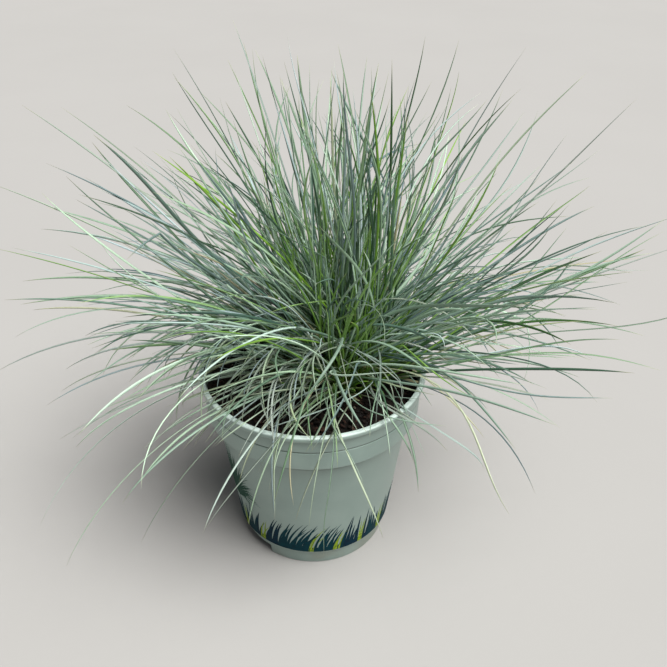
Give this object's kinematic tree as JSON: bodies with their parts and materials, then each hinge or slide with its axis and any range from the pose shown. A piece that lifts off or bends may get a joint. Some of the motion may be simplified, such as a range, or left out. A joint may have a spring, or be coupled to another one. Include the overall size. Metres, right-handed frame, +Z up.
{
  "type": "potted ornamental grass clump",
  "caption": "Clump of fine blue-green ornamental grass in a round pale green plastic nursery pot with a collar, rolled rim and stepped foot.",
  "frame": {"origin": "middle of the pad under the pot's floor, on the surface that the pot stands on, on the pot's axis", "axes": "+Z up along the pot's axis; -Y towards the thinner front side of the clump, where the mix shows; +X to the right seen from there"},
  "size_m": [0.5127, 0.4558, 0.4067],
  "materials": {
    "pot_plastic": "satin moulded plastic, pale sage green",
    "potting_mix": null,
    "leaf_bases": "packed green leaf bases; fabric stands in for plant tissue",
    "upright_leaves": "blue-green needle leaves with a waxy bloom; fabric stands in for plant tissue",
    "leaning_leaves": "blue-green needle leaves with a waxy bloom; fabric stands in for plant tissue",
    "arching_leaves": "paler, drier needle leaves; fabric stands in for plant tissue"
  },
  "bodies": {
    "root": {"pot": "pot_plastic", "potting_mix": "potting_mix", "crown": "leaf_bases", "tuft_heart_01": "upright_leaves", "tuft_heart_02": "upright_leaves", "tuft_heart_03": "upright_leaves", "tuft_inner_01": "upright_leaves", "tuft_inner_02": "upright_leaves", "tuft_inner_03": "upright_leaves", "tuft_inner_04": "upright_leaves", "tuft_inner_05": "upright_leaves", "tuft_inner_06": "upright_leaves", "tuft_inner_07": "upright_leaves", "tuft_inner_08": "upright_leaves", "tuft_middle_01": "leaning_leaves", "tuft_middle_02": "leaning_leaves", "tuft_middle_03": "leaning_leaves", "tuft_middle_04": "leaning_leaves", "tuft_middle_05": "leaning_leaves", "tuft_middle_06": "leaning_leaves", "tuft_middle_07": "leaning_leaves", "tuft_middle_08": "leaning_leaves", "tuft_middle_09": "leaning_leaves", "tuft_middle_10": "leaning_leaves", "tuft_middle_11": "leaning_leaves", "tuft_middle_12": "leaning_leaves", "tuft_outer_01": "leaning_leaves", "tuft_outer_02": "leaning_leaves", "tuft_outer_03": "leaning_leaves", "tuft_outer_04": "leaning_leaves", "tuft_outer_05": "leaning_leaves", "tuft_outer_06": "leaning_leaves", "tuft_outer_07": "leaning_leaves", "tuft_outer_08": "leaning_leaves", "tuft_outer_09": "leaning_leaves", "tuft_outer_10": "leaning_leaves", "tuft_outer_11": "leaning_leaves", "tuft_outer_12": "leaning_leaves", "tuft_outer_13": "leaning_leaves", "tuft_outer_14": "leaning_leaves", "arching_leaves_01": "arching_leaves", "arching_leaves_02": "arching_leaves", "arching_leaves_03": "arching_leaves", "arching_leaves_04": "arching_leaves", "arching_leaves_05": "arching_leaves", "arching_leaves_06": "arching_leaves", "arching_leaves_07": "arching_leaves", "arching_leaves_08": "arching_leaves", "arching_leaves_09": "arching_leaves", "arching_leaves_10": "arching_leaves", "arching_leaves_11": "arching_leaves", "arching_leaves_12": "arching_leaves", "arching_leaves_13": "arching_leaves", "arching_leaves_14": "arching_leaves"}
  },
  "joints": []
}
